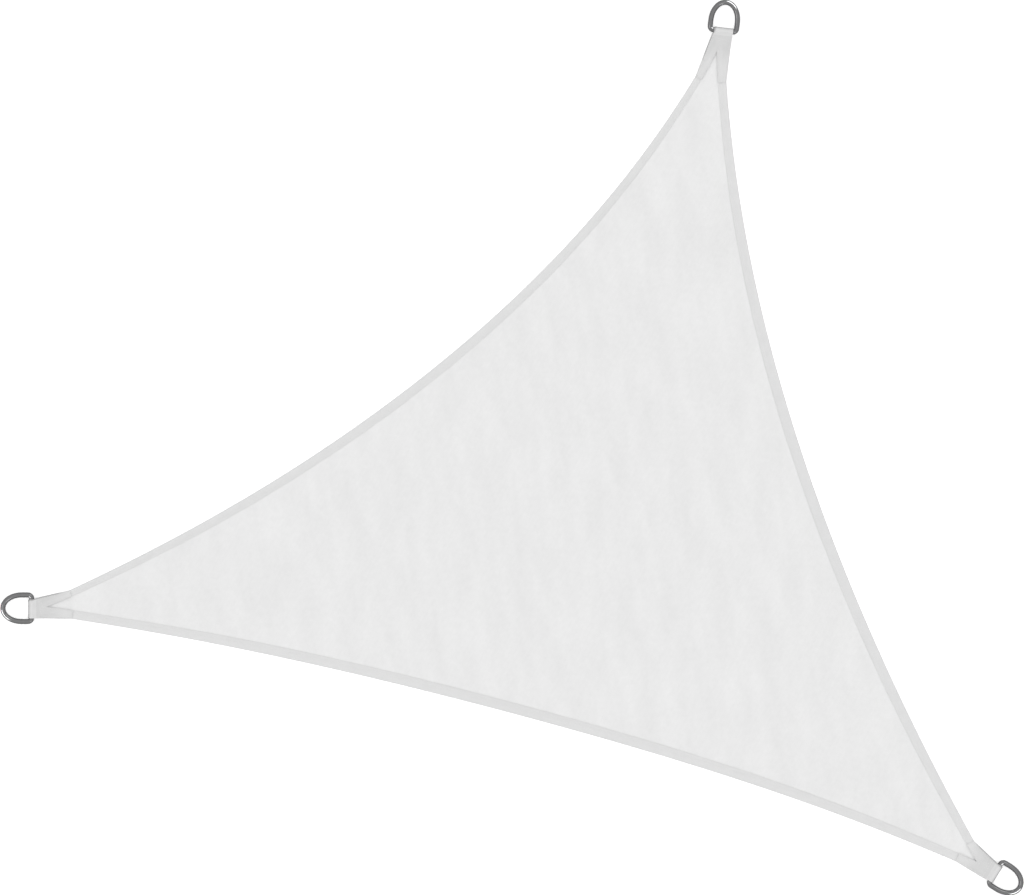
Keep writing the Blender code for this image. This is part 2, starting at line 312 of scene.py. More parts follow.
edgeWebbingFinish = {
    "colour": (0.782, 0.782, 0.782, 1),
    "along": 0.0021,  # one yarn of the weave
    "across": 0.0014,
    "depth": 0.00022,
    "valleyShade": 0.17,
}
tabWebbingFinish = {
    "colour": (0.712, 0.712, 0.712, 1),
    "along": 0.0026,
    "across": 0.0018,
    "depth": 0.00032,
    "valleyShade": 0.17,
    "paintedBarHighlight": (0.021, 0.09),  # a painted highlight where the webbing rounds over the ring's bar: how far it reaches, and how much lighter
    "legs": (0.040, 0.085, 0.08),  # the legs grow paler from one distance to another, by this much
    "paintedShadeEdge": (0.0044, 0.30),  # painted shade along one long side of the tab: width and depth
    "fold": (0.0070, 0.30),  # the painted shade line at the crown of the fold: half its width and its depth
}


def rampBetween(tree, value, low, high):
    ramp = addNode(tree, "ShaderNodeMapRange", {"interpolation_type": "SMOOTHSTEP"},
                   {"From Min": low, "From Max": high}, {"Value": value})
    return ramp.outputs["Result"]


def tabToneAndPaintedShading(tree, look, place, colour):
    # a tab's X coordinate runs from the crown of its fold, and its Y in from the side with the painted shade edge
    split = addNode(tree, "ShaderNodeSeparateXYZ", links={0: place.outputs["UV"]})
    along = calc(tree, "ABSOLUTE", split.outputs["X"])
    paintedBarHighlightReach, paintedBarHighlightGain = look["paintedBarHighlight"]
    legFrom, legTo, legGain = look["legs"]
    shadeEdgeWidth, shadeEdgeDepth = look["paintedShadeEdge"]
    crownShadeWidth, crownShadeDepth = look["fold"]
    # painted highlight: the webbing over the ring's bar is made lighter, as if lit from above
    paintedBarHighlight = calc(tree, "SUBTRACT", 1.0, rampBetween(tree, along, paintedBarHighlightReach - 0.0015, paintedBarHighlightReach))
    legs = rampBetween(tree, along, legFrom, legTo)
    colour = shadedBy(tree, colour, paintedBarHighlight, -paintedBarHighlightGain)
    colour = shadedBy(tree, colour, legs, -legGain)
    # painted shade: a darker strip along one long side, where that side of the tab would fall in shade
    nearShadeEdge = calc(tree, "SUBTRACT", 1.0, rampBetween(tree, split.outputs["Y"], shadeEdgeWidth * 0.45, shadeEdgeWidth))
    inReach = calc(tree, "SUBTRACT", 1.0, rampBetween(tree, along, legTo * 0.7, legTo * 0.95))
    colour = shadedBy(tree, colour, calc(tree, "MULTIPLY", nearShadeEdge, inReach), shadeEdgeDepth)
    # painted shade: the crown of the fold, where the webbing turns away, is darkened
    crownShade = calc(tree, "SUBTRACT", 1.0, rampBetween(tree, along, crownShadeWidth * 0.5, crownShadeWidth))
    return shadedBy(tree, colour, crownShade, crownShadeDepth)


def makeWebbingMaterial(name, look, mottle, weave):
    material, tree, shader = newMaterial(name, specular=0.3)
    place = tree.nodes.new("ShaderNodeTexCoord")
    woven = placeGroup(tree, weave, {"Along": look["along"], "Across": look["across"]},
                       {"Vector": place.outputs["UV"]})
    patches = placeGroup(tree, mottle, {"Color": look["colour"], "Scale": 55.0, "Amount": 0.07},
                         {"Vector": place.outputs["Object"]})
    valley = calc(tree, "POWER", woven.outputs["Valley"], 2.5)
    colour = shadedBy(tree, patches.outputs["Color"], valley, look["valleyShade"])
    if "paintedBarHighlight" in look:
        colour = tabToneAndPaintedShading(tree, look, place, colour)
    tree.links.new(colour, shader.inputs["Base Color"])
    roughness = calc(tree, "ADD", calc(tree, "MULTIPLY", woven.outputs["Valley"], 0.2), 0.6)
    tree.links.new(roughness, shader.inputs["Roughness"])
    bumpFrom(tree, shader, woven.outputs["Height"], look["depth"], 0.8)
    return material


threadFinish = {"colour": (0.80, 0.80, 0.80, 1), "twist": 0.0009}


def makeThreadMaterial(mottle):
    look = threadFinish
    material, tree, shader = newMaterial("sewingThread", specular=0.4)
    place = tree.nodes.new("ShaderNodeTexCoord")
    split = addNode(tree, "ShaderNodeSeparateXYZ", links={0: place.outputs["Object"]})
    diagonal = calc(tree, "DIVIDE", calc(tree, "ADD", split.outputs["X"], split.outputs["Y"]), look["twist"])
    plies = calc(tree, "ABSOLUTE", calc(tree, "SINE", calc(tree, "MULTIPLY", diagonal, math.pi)))
    patches = placeGroup(tree, mottle, {"Color": look["colour"], "Scale": 400.0, "Amount": 0.1},
                         {"Vector": place.outputs["Object"]})
    # painted shade: the thread is darker in the grooves between its plies
    colour = shadedBy(tree, patches.outputs["Color"], calc(tree, "SUBTRACT", 1.0, plies), 0.15)
    tree.links.new(colour, shader.inputs["Base Color"])
    tree.links.new(calc(tree, "ADD", calc(tree, "MULTIPLY", plies, -0.1), 0.6), shader.inputs["Roughness"])
    bumpFrom(tree, shader, plies, 0.0001, 0.6)
    return material


steelFinish = {"colour": (0.20, 0.20, 0.203, 1), "roughness": 0.11, "scratchScale": 900.0}


def makeSteelMaterial(mottle):
    look = steelFinish
    material, tree, shader = newMaterial("polishedSteel", metallic=1.0)
    place = tree.nodes.new("ShaderNodeTexCoord")
    patches = placeGroup(tree, mottle, {"Color": look["colour"], "Scale": 120.0, "Amount": 0.25},
                         {"Vector": place.outputs["Object"]})
    tree.links.new(patches.outputs["Color"], shader.inputs["Base Color"])
    grain = addNode(tree, "ShaderNodeTexNoise", values={"Scale": look["scratchScale"], "Detail": 4.0},
                    links={"Vector": place.outputs["Object"]})
    rough = calc(tree, "ADD", calc(tree, "MULTIPLY", grain.outputs["Fac"], 0.08), look["roughness"] - 0.05)
    worn = calc(tree, "ADD", rough, calc(tree, "MULTIPLY", patches.outputs["Patches"], 0.06))
    tree.links.new(worn, shader.inputs["Roughness"])
    bumpFrom(tree, shader, grain.outputs["Fac"], 0.00003, 0.35)
    return material


mottle = mottleGroup()
weave = weaveGroup()
clothMaterial = makeClothMaterial(mottle)
edgeMaterial = makeWebbingMaterial("edgeWebbing", edgeWebbingFinish, mottle, weave)
tabMaterial = makeWebbingMaterial("tabWebbing", tabWebbingFinish, mottle, weave)
threadMaterial = makeThreadMaterial(mottle)
steelMaterial = makeSteelMaterial(mottle)
print("finishes made")


# The sail's edges, read from the CAD bindings

edgeFit = {
    "degree": 7,
    "innerFrom": 0.16,  # from either eye, where the inner side is a plain curve
    "near": 0.0003,
    "notchSearch": (0.06, 0.20, 0.001),  # nearest and furthest from an eye, and the step between
}


class SailEdge:
    # one edge as a straight base line between two ring eyes, and the depth of the binding's two sides off it
    def __init__(self, name):
        start, end = (Vector(mounts["eye_" + corner]["pos_m"]).to_2d() for corner in edges[name])
        self.name = name
        self.start = start
        self.length = (end - start).length
        self.along = (end - start).normalized()
        self.inward = Vector((self.along.y, -self.along.x))
        vertices = np.array([vertex.co[:2] for vertex in cadNodes["binding_" + name].data.vertices])
        vertices = np.unique(vertices.round(6), axis=0)
        place = (vertices - np.array(start)) @ np.array(self.along)
        depth = (vertices - np.array(start)) @ np.array(self.inward)
        self.outer = self.envelope(place, depth, -1)
        middle = (place > edgeFit["innerFrom"]) & (place < self.length - edgeFit["innerFrom"])
        self.inner = self.envelope(place[middle], depth[middle], 1)
        self.first, self.last = float(place.min()), float(place.max())
        self.tree = BVHTree.FromObject(cadNodes["binding_" + name], bpy.context.evaluated_depsgraph_get())

    def envelope(self, place, depth, side):
        # a smooth curve through the vertices furthest to one side
        keep = np.ones(len(place), bool)
        for slack in (0.0, 0.0, edgeFit["near"], edgeFit["near"]):
            curve = np.polynomial.Polynomial.fit(place[keep], depth[keep], edgeFit["degree"])
            keep = side * (depth - curve(place)) > -slack
        return np.polynomial.Polynomial.fit(place[keep], depth[keep], edgeFit["degree"])

    def point(self, place, depth):
        return self.start + self.along * float(place) + self.inward * float(depth)

    def station(self, place):
        # (point on the outer side, direction along, direction inward, width) there
        slope = float(self.outer.deriv()(place))
        tangent = (self.along + self.inward * slope).normalized()
        normal = Vector((tangent.y, -tangent.x))
        alongPart, inwardPart = normal.dot(self.along), normal.dot(self.inward)
        depth = float(self.outer(place))
        width = 0.02
        for _ in range(5):
            width = (float(self.inner(place + width * alongPart)) - depth) / inwardPart
        return self.point(place, depth), tangent, normal, width

    def bottom(self, point):
        height = heightOf(self.tree, point.x, point.y, below=True)
        return 0.0 if height is None else height


sailEdges = {name: SailEdge(name) for name in edges}


def notchBetween(before, after):
    # where the inner sides of two bindings meet: the point, and its place along each edge
    near, far, step = edgeFit["notchSearch"]
    first = [(place, before.station(place))
             for place in np.arange(before.length - far, before.length - near, step)]
    second = [(place, after.station(place)) for place in np.arange(near, far, step)]
    insideFirst = np.array([tuple(s[0] + s[3] * s[2]) for _, s in first])
    insideSecond = np.array([tuple(s[0] + s[3] * s[2]) for _, s in second])
    gaps = np.linalg.norm(insideFirst[:, None] - insideSecond[None], axis=2)
    i, j = np.unravel_index(gaps.argmin(), gaps.shape)
    return Vector(insideFirst[i]), first[i][0], second[j][0]


notches = {}
edgeFrom, edgeTo = {}, {}
for corner, before, after in (("left", "lower", "upper"), ("top", "upper", "side"), ("right", "side", "lower")):
    notches[corner], edgeTo[before], edgeFrom[after] = notchBetween(sailEdges[before], sailEdges[after])
print("edges read:", {name: round(edge.length, 3) for name, edge in sailEdges.items()})


# Shade cloth

cloth = {
    "thickness": 0.0010,
    "inset": 0.0026,  # from the fold of the binding
    "pastNotch": 0.016,
    "spacing": 0.0085,
    "level": 0.03,  # the rim that stays level with the bindings
    "waveFade": 0.09,
    "waves": (  # height, width across the cloth's run, length along it
        (0.0011, 0.085, 0.42),
        (0.0013, 0.26, 0.80),
        (0.0002, 0.034, 0.16),
    ),
}


def clothOutline():
    outline = []
    for name, edge in sailEdges.items():
        first, last = edgeFrom[name] - cloth["pastNotch"], edgeTo[name] + cloth["pastNotch"]
        for place in np.linspace(first, last, int((last - first) / cloth["spacing"])):
            point, _, inward, _ = edge.station(place)
            outline.append(point + cloth["inset"] * inward)
    return np.array([tuple(point) for point in outline])


def insideOf(points, outline):
    inside = np.zeros(len(points), bool)
    x, y = points[:, 0], points[:, 1]
    for (x0, y0), (x1, y1) in zip(outline, np.roll(outline, -1, axis=0)):
        crosses = (y0 > y) != (y1 > y)
        inside ^= crosses & (x < (x1 - x0) * (y - y0) / (y1 - y0 + 1e-12) + x0)
    return inside


def distanceTo(points, outline):
    best = np.full(len(points), 9.0)
    for a, b in zip(outline, np.roll(outline, -1, axis=0)):
        d = b - a
        share = np.clip(((points - a) @ d) / (d @ d), 0, 1)
        best = np.minimum(best, np.linalg.norm(points - a - share[:, None] * d, axis=1))
    return best


def clothWave(point, clear):
    lean = math.radians(clothFinish["turn"])
    across = point[0] * math.cos(lean) + point[1] * math.sin(lean)
    along = -point[0] * math.sin(lean) + point[1] * math.cos(lean)
    height = 0.0
    for number, (tall, wide, long) in enumerate(cloth["waves"]):
        height += tall * (0.5 + noise.noise(Vector((across / wide, along / long, 7.3 * number))))
    rise = min(clear / cloth["waveFade"], 1.0)
    return max(height, 0.0) * rise * rise * (3 - 2 * rise)


def makeCloth():
    outline = clothOutline()
    low, high = outline.min(0), outline.max(0)
    columns = np.arange(low[0], high[0], cloth["spacing"])
    rows = np.arange(low[1], high[1], cloth["spacing"] * math.sqrt(3) / 2)
    grid = [(x + (i % 2) * cloth["spacing"] / 2, y) for i, y in enumerate(rows) for x in columns]
    grid = np.array(grid)
    grid = grid[insideOf(grid, outline)]
    grid = grid[distanceTo(grid, outline) > 0.6 * cloth["spacing"]]
    flat = np.concatenate([outline, grid])
    rim = [(i, (i + 1) % len(outline)) for i in range(len(outline))]
    points, _, faces, _, _, _ = delaunay_2d_cdt([Vector(p) for p in flat], rim, [], 1, 1e-7)
    tree = BVHTree.FromObject(cadNodes["sail_cloth"], bpy.context.evaluated_depsgraph_get())
    clear = distanceTo(np.array([tuple(p) for p in points]), outline)
    heights = []
    for point in points:
        top = heightOf(tree, point.x, point.y)
        if top is None:
            top = tree.find_nearest(Vector((point.x, point.y, 0.004)))[0].z
        heights.append(top - 0.0006)
    piece = makePiece("shadeCloth", [(p.x, p.y, z) for p, z in zip(points, heights)], faces)
    # the slope down from the bindings is eased, and the rim stays between their layers
    selectOnly(piece)
    bpy.ops.object.mode_set(mode="EDIT")
    bpy.ops.mesh.select_all(action="DESELECT")
    bpy.ops.object.mode_set(mode="OBJECT")
    for vertex, distance in zip(piece.data.vertices, clear):
        vertex.select = bool(distance > cloth["level"])
    bpy.ops.object.mode_set(mode="EDIT")
    bpy.ops.mesh.select_mode(type="VERT")
    bpy.ops.mesh.vertices_smooth(factor=0.5, repeat=30, xaxis=False, yaxis=False, zaxis=True)
    bpy.ops.mesh.select_all(action="SELECT")
    bpy.ops.mesh.normals_make_consistent(inside=False)
    bpy.ops.object.mode_set(mode="OBJECT")
    for vertex, distance in zip(piece.data.vertices, clear):
        vertex.co.z += clothWave(vertex.co, max(distance - cloth["level"], 0.0))
    if sum(face.normal.z for face in piece.data.polygons) < 0:
        piece.data.flip_normals()
    flatArea = sum(face.area for face in piece.data.polygons)
    applyModifier(piece, "SOLIDIFY", thickness=cloth["thickness"], offset=0.0)
    smoothShade(piece)
    finishPiece(piece, clothMaterial, "shade_cloth", "sail_cloth")
    return piece, (high - low).tolist(), flatArea


clothPiece, clothSize, clothArea = makeCloth()
print("cloth made:", len(clothPiece.data.polygons), "faces,", round(clothArea, 4), "square metres")


# Edge bindings

binding = {
    "height": 0.0042,
    "thickness": 0.0012,
    "lip": 0.0004,  # rounding of the cut edges
    "rows": (0.0026, 0.0070),  # stitch rows, in from the inner side
    "pressed": (0.0005, 0.0105),  # how far the upper layer is drawn down to the cloth, and over what width
    "groove": 0.00018,
    "grooveHalf": 0.0011,
    "stationStep": 0.006,
    "wobble": 0.0005,
    "floor": 0.00012,  # kept clear under the cloth for the stitches
    "foldRun": 0.0015,  # past the round of the fold, where the flat layers start
    "foldSteps": 8,
    "foldAllowance": 0.0066,  # the cut width over twice the folded one
    "mitreLap": 0.0004,
    "notchFill": (0.0011, 0.012),  # how much wider it is at a notch, and over what distance
}


def bindingSection(width):
    # (distance in from the fold, height) round the folded webbing, from the lower inner side
    high, thick, lip = binding["height"], binding["thickness"], binding["lip"]
    low = binding["floor"]
    radius = (high - low) / 2
    section = [(width - lip * 0.2, low + thick - lip * 0.5), (width, low + lip), (width - lip, low)]
    drop, over = binding["pressed"]
    lowerRun, upperRun = [], []
    for row in binding["rows"]:
        for offset, dip in ((-1, 0.0), (0, 1.0), (1, 0.0)):
            inset = width - row - offset * binding["grooveHalf"]
            lowerRun.append((inset, low + dip * binding["groove"]))
            pressed = drop * smoothStep(1 - (width - inset) / over)
            upperRun.append((inset, high - pressed - dip * binding["groove"]))
    section += lowerRun
    section += [(radius + binding["foldRun"], low)]
    for step in range(binding["foldSteps"] + 1):
        turn = -math.pi / 2 - math.pi * step / binding["foldSteps"]
        section.append((radius + radius * math.cos(turn), low + radius + radius * math.sin(turn)))
    section += [(radius + binding["foldRun"], high)]
    section += reversed(upperRun)
    section += [(width - lip, high - drop), (width, high - drop - lip),
                (width - lip * 0.2, high - drop - thick + lip * 0.5)]
    inner = radius - thick
    section += [(width - thick, high - drop - thick), (radius, high - thick)]
    for step in range(1, 4):
        turn = math.pi / 2 + math.pi * step / 4
        section.append((radius + inner * math.cos(turn), low + radius + inner * math.sin(turn)))
    section += [(radius, low + thick), (width - thick, low + thick)]
    return section


def mitred(edge, place, point, inward, width):
    # wider at the notches, and past them cut on the line from the notch to the eye
    fill, reach = binding["notchFill"]
    for corner, past in ((edges[edge.name][0], edgeFrom[edge.name] - place),
                         (edges[edge.name][1], place - edgeTo[edge.name])):
        width += fill * math.exp(-(past / reach) ** 2)
        if past > -0.004:
            notch = notches[corner]
            line = (Vector(mounts["eye_" + corner]["pos_m"]).to_2d() - notch).normalized()
            across = Vector((line.y, -line.x))
            toLine = (notch - point).dot(across) / inward.dot(across)
            width = min(width, max(toLine + binding["mitreLap"], 0.0085))
    return width


def makeBinding(edge):
    first, last = edge.first + 0.0002, edge.last - 0.0002
    places = np.linspace(first, last, int((last - first) / binding["stationStep"]))
    points, uvs = [], []
    travelled, previous = 0.0, None
    for place in places:
        point, tangent, inward, width = edge.station(place)
        travelled += 0.0 if previous is None else (point - previous).length
        previous = point
        width += binding["wobble"] * noise.noise(Vector((place * 14, 3.1 * edge.length, 0.0)))
        section = bindingSection(mitred(edge, place, point, inward, width))
        bottom = edge.bottom(point + 0.004 * inward)
        around = 0.0
        for i, (inset, height) in enumerate(section):
            spot = point + inset * inward
            if i:
                around += math.dist(section[i], section[i - 1])
            points.append((spot.x, spot.y, bottom + height))
            uvs.append((travelled, around))
    count = len(section)
    faces = []
    for k in range(len(places) - 1):
        for i in range(count):
            j = (i + 1) % count
            faces.append((k * count + i, k * count + j, (k + 1) * count + j, (k + 1) * count + i))
    faces.append(tuple(reversed(range(count))))
    faces.append(tuple(range((len(places) - 1) * count, len(places) * count)))
    piece = makePiece("binding" + edge.name.capitalize(), points, faces)
    selectOnly(piece)
    bpy.ops.object.mode_set(mode="EDIT")
    bpy.ops.mesh.select_all(action="SELECT")
    bpy.ops.mesh.normals_make_consistent(inside=False)
    bpy.ops.object.mode_set(mode="OBJECT")
    setUv(piece, uvs)
    smoothShade(piece, 50)
    finishPiece(piece, edgeMaterial, "edge_webbing", "binding_" + edge.name)
    middle = np.linspace(edgeFrom[edge.name], edgeTo[edge.name], 50)
    meanWidth = float(np.mean([edge.station(place)[3] for place in middle]))
    flat = (2 * meanWidth + binding["foldAllowance"], travelled)
    return piece, flat


bindings = {name: makeBinding(edge) for name, edge in sailEdges.items()}
print("bindings made:", {name: [round(x, 3) for x in flat] for name, (_, flat) in bindings.items()})


# Corner tabs

tab = {
    "edgeRounding": 0.00045,
    "smoothing": 2,
    "seamInset": 0.0030,
    "secondSeam": 0.0045,
    "clear": 0.00025,  # kept free under the webbing for its stitches
    "pinch": 0.0044,  # how far the upper layer comes down beside the sail's corner, where it meets the lower one
    "pinchOver": 0.0065,
    "pinchFrom": (0.013, 0.030),  # behind the ring's bar
    "paintedShadeSide": {"left": -1, "top": 1, "right": 1},  # the side that gets the painted shade edge; 1 is the side to the left, looking out along the ring
    "cutWidth": 0.0444,
    "turnRoundBar": 0.0195,
}


class TabFrame:
    # the ring's bar, and the directions out along the ring and to its left
    def __init__(self, corner):
        axis = Vector(mounts["eye_" + corner]["axis"]).to_2d()
        self.out = -axis.normalized()
        self.left = Vector((-self.out.y, self.out.x))
        vertices = np.array([vertex.co for vertex in cadNodes["tab_" + corner].data.vertices])
        self.barHeight = float(vertices[:, 2].max()) / 2
        self.barAlong = float((vertices[:, :2] @ np.array(self.out)).max()) - self.barHeight
        alongs, sides = vertices[:, :2] @ np.array(self.out), vertices[:, :2] @ np.array(self.left)
        high = (vertices[:, 2] > self.barHeight) & (alongs < self.barAlong - 0.015)
        self.topLevel = float(np.median(vertices[high, 2]))
        # the outline of the long side that the painted shade edge follows
        self.side = tab["paintedShadeSide"][corner]
        ends = np.array([edge.vertices for edge in cadNodes["tab_" + corner].data.edges])
        near, far = alongs[ends[:, 0]], alongs[ends[:, 1]]
        nearSide, farSide = self.side * sides[ends[:, 0]], self.side * sides[ends[:, 1]]
        steps = np.linspace(alongs.min() + 0.0001, alongs.max() - 0.0001, 80)
        furthest = []
        for step in steps:
            met = ((near - step) * (far - step) <= 0) & (np.abs(far - near) > 1e-6)
            share = (step - near[met]) / (far[met] - near[met])
            furthest.append((nearSide[met] + share * (farSide[met] - nearSide[met])).max())
        # past the end of that side's leg the line runs straight on
        last = len(steps) - 1
        while last > 0 and furthest[last - 1] > furthest[last] - 0.002:
            last -= 1
        slope = (furthest[last + 1] - furthest[last + 8]) / (steps[last + 1] - steps[last + 8])
        for i in range(last + 1):
            furthest[i] = furthest[last + 1] + slope * (steps[i] - steps[last + 1])
        self.sideLine = steps, np.array(furthest)

    def webbingUv(self, point):
        along = point.x * self.out.x + point.y * self.out.y - self.barAlong
        across = point.x * self.left.x + point.y * self.left.y
        across = float(np.interp(along + self.barAlong, *self.sideLine)) - self.side * across
        above = point.z - self.barHeight
        radius = self.barHeight - 0.0008
        if along >= 0:
            return radius * math.atan2(above, max(along, 1e-6)), across
        quarter = radius * math.pi / 2
        return (quarter - along if above > -radius / 2 else along - quarter), across


def pinched(corner, lay, point):
    # how far down a point of the upper layer comes
    if point.z < lay.topLevel - 0.003:
        return 0.0
    beside = 0.0
    for edge in sailEdges.values():
        if corner in edges[edge.name]:
            offset = point.to_2d() - edge.start
            place = min(max(offset.dot(edge.along), 0.0), edge.length)
            beside = max(beside, float(edge.outer(place)) - offset.dot(edge.inward))
    start, end = tab["pinchFrom"]
    behind = lay.barAlong - point.to_2d().dot(lay.out)
    return tab["pinch"] * smoothStep(beside / tab["pinchOver"]) * smoothStep((behind - start) / (end - start))


def makeTab(corner):
    lay = TabFrame(corner)
    piece = copyOfNode("tab_" + corner, "tab" + corner.capitalize())
    bpy.ops.object.mode_set(mode="EDIT")
    bpy.ops.mesh.select_all(action="DESELECT")
    bpy.ops.mesh.select_mode(type="EDGE")
    bpy.ops.mesh.edges_select_sharp(sharpness=math.radians(50))
    bpy.ops.transform.edge_crease(value=1.0)
    bpy.ops.object.mode_set(mode="OBJECT")
    levels = tab["smoothing"]
    applyModifier(piece, "SUBSURF", levels=levels, render_levels=levels)
    applyModifier(piece, "BEVEL", width=tab["edgeRounding"], segments=2, limit_method="ANGLE",
                  angle_limit=math.radians(50))
    setUv(piece, [lay.webbingUv(vertex.co) for vertex in piece.data.vertices])
    for vertex in piece.data.vertices:
        vertex.co.z = max(vertex.co.z - pinched(corner, lay, vertex.co), tab["clear"])
    smoothShade(piece, 50)
    finishPiece(piece, tabMaterial, "tab_webbing", "tab_" + corner)
    return piece, lay


tabs = {corner: makeTab(corner) for corner in corners}
print("tabs made")


# D-rings

ring = {"smoothing": 2, "fatten": 0.00018}


def makeRing(corner):
    piece = copyOfNode("ring_" + corner, "ring" + corner.capitalize())
    levels = ring["smoothing"]
    applyModifier(piece, "SUBSURF", levels=levels, render_levels=levels)
    bpy.ops.object.mode_set(mode="EDIT")
    bpy.ops.mesh.select_all(action="SELECT")
    bpy.ops.transform.shrink_fatten(value=ring["fatten"])
    bpy.ops.object.mode_set(mode="OBJECT")
    lift = max(0.0, -min(vertex.co.z for vertex in piece.data.vertices))
    for vertex in piece.data.vertices:
        vertex.co.z += lift
    bpy.ops.object.shade_smooth()
    finishPiece(piece, steelMaterial, "steel", "ring_" + corner)
    return piece


rings = [makeRing(corner) for corner in corners]
print("rings made")


# Stitches

stitch = {"pitch": 0.0050, "length": 0.0040, "width": 0.0010, "rise": 0.00050, "sink": 0.00045, "sides": 6}


def spaced(path, step, closed=False):
    # points a step apart along a path, with the direction at each
    points = np.array([tuple(point) for point in path])
    if closed:
        points = np.concatenate([points, points[:1]])
    runs = np.concatenate([[0], np.cumsum(np.linalg.norm(np.diff(points, axis=0), axis=1))])
    count = max(int(runs[-1] / step), 1)
    found = []
    for at in (np.arange(count) + 0.5) * runs[-1] / count:
        ahead, behind = (
            np.array([np.interp(at + side * 0.0008, runs, points[:, k]) for k in (0, 1)]) for side in (1, -1))
        found.append((Vector((ahead + behind) / 2), Vector(ahead - behind).normalized()))
    return found


def sew(points, faces, spot, direction, height, upward):
    # one stitch of thread: pointed at its ends, where it goes into the cloth, and round between them
    across = Vector((-direction.y, direction.x))
    start = len(points)
    sides = stitch["sides"]
    for share, girth, lift in ((-0.5, 0.35, -1.0), (-0.22, 1.0, 0.0), (0.22, 1.0, 0.0), (0.5, 0.35, -1.0)):
        middle = spot + direction * share * stitch["length"]
        centre = height + upward * (stitch["rise"] - stitch["width"] * 0.4 + lift * stitch["sink"])
        for side in range(sides):
            turn = 2 * math.pi * side / sides
            wide = girth * stitch["width"] / 2 * math.cos(turn)
            tall = girth * stitch["width"] / 2 * 0.8 * math.sin(turn)
            place = middle + wide * across
            points.append((place.x, place.y, centre + tall))
    for k in range(3):
        for i in range(sides):
            j = (i + 1) % sides
            faces.append((start + k * sides + i, start + k * sides + j,
                          start + (k + 1) * sides + j, start + (k + 1) * sides + i))
    faces.append(tuple(start + i for i in reversed(range(sides))))
    faces.append(tuple(start + 3 * sides + i for i in range(sides)))


def sewRows(name, onto, rows, slotName):
    # rows of stitches on both faces of a finished piece
    tree = treeOf(onto)
    points, faces = [], []
    for path, closed in rows:
        for spot, direction in spaced(path, stitch["pitch"], closed):
            for below, upward in ((False, 1), (True, -1)):
                height = heightOf(tree, spot.x, spot.y, below)
                if height is not None:
                    if below:
                        height = max(height, stitch["rise"])
                    sew(points, faces, spot, direction, height, upward)
    piece = makePiece(name, points, faces)
    selectOnly(piece)
    bpy.ops.object.mode_set(mode="EDIT")
    bpy.ops.mesh.select_all(action="SELECT")
    bpy.ops.mesh.normals_make_consistent(inside=False)
    bpy.ops.object.mode_set(mode="OBJECT")
    bpy.ops.object.shade_smooth()
    finishPiece(piece, threadMaterial, slotName)
    return piece


def bindingRows(edge):
    first, last = edgeFrom[edge.name] + 0.01, edgeTo[edge.name] - 0.01
    rows = []
    for inset in binding["rows"]:
        row = []
        for place in np.linspace(first, last, 400):
            point, _, inward, width = edge.station(place)
            row.append(point + (width - inset) * inward)
        rows.append((row, False))
    return rows


def tabOutline(corner, lay):
    # the flat upper layer's outline, in order, from the merged skin of the CAD tab
    skin = copyOfNode("tab_" + corner, "outlineSource")
    shape = bmesh.new()
    shape.from_mesh(skin.data)
    flat = [face for face in shape.faces
            if all(abs(vertex.co.z - lay.topLevel) < 0.00005 for vertex in face.verts)]
    rim = {}
    for face in flat:
        for loop in face.loops:
            if sum(other in flat for other in loop.edge.link_faces) == 1:
                rim[loop.vert.index] = (loop.link_loop_next.vert.index, loop.vert.co.to_2d())
    shape.free()
    bpy.data.objects.remove(skin)
    start = next(iter(rim))
    outline, here = [], start
    while not outline or here != start:
        outline.append(rim[here][1].copy())
        here = rim[here][0]
    return outline


def insetOutline(outline, inset):
    moved = []
    count = len(outline)
    for i, point in enumerate(outline):
        before = (point - outline[i - 1]).normalized()
        after = (outline[(i + 1) % count] - point).normalized()
        normals = Vector((-before.y, before.x)), Vector((-after.y, after.x))
        halfway = (normals[0] + normals[1]).normalized()
        moved.append(point + halfway * inset / max(halfway.dot(normals[0]), 0.35))
    return moved


def tabRows(corner, lay):
    outline = insetOutline(tabOutline(corner, lay), tab["seamInset"])
    rows = [(outline, True)]
    nearest = sorted(outline, key=lambda point: -point.dot(lay.out))[:2]
    inwards = [point - tab["secondSeam"] * lay.out for point in nearest]
    rows.append((inwards, False))
    return rows


seams = [sewRows("seam" + name.capitalize(), bindings[name][0], bindingRows(edge), "edge_webbing")
         for name, edge in sailEdges.items()]
tabSeams = {corner: sewRows("tabSeam" + corner.capitalize(), piece, tabRows(corner, lay), "tab_webbing")
            for corner, (piece, lay) in tabs.items()}
print("stitches made:", sum(len(piece.data.polygons) for piece in seams), "faces on the edges")


# Stage, light and camera

stage = {
    "floorSize": 60.0,
    "floorDrop": 0.0001,
    "floorColour": (0.93, 0.93, 0.93, 1),
    "floorGlow": 0.45,
    "world": 0.985,
    "horizon": 0.45,  # how much of the world's light is left down at the horizon
    "risesOver": (0.20, 0.50),  # the heights, as sines, between which the rest of it comes in
    "suns": (  # azimuth and height in degrees, strength, angular size
        (300.0, 52.0, 0.16, 20.0),
        (60.0, 52.0, 0.14, 20.0),
        (180.0, 52.0, 0.14, 20.0),
    ),
    "cards": {"left": 212.0, "top": 56.0, "right": -57.0},  # azimuth of each ring's small light
    "cardHeight": 32.0,
    "cardDistance": 0.4,
    "cardSize": (0.28, 0.16),
    "cardPower": 1.3,
    "cameraHeight": 20.0,
    "sensor": 36.0,
    "margin": 1.0008,  # the picture's width over the sail's
}


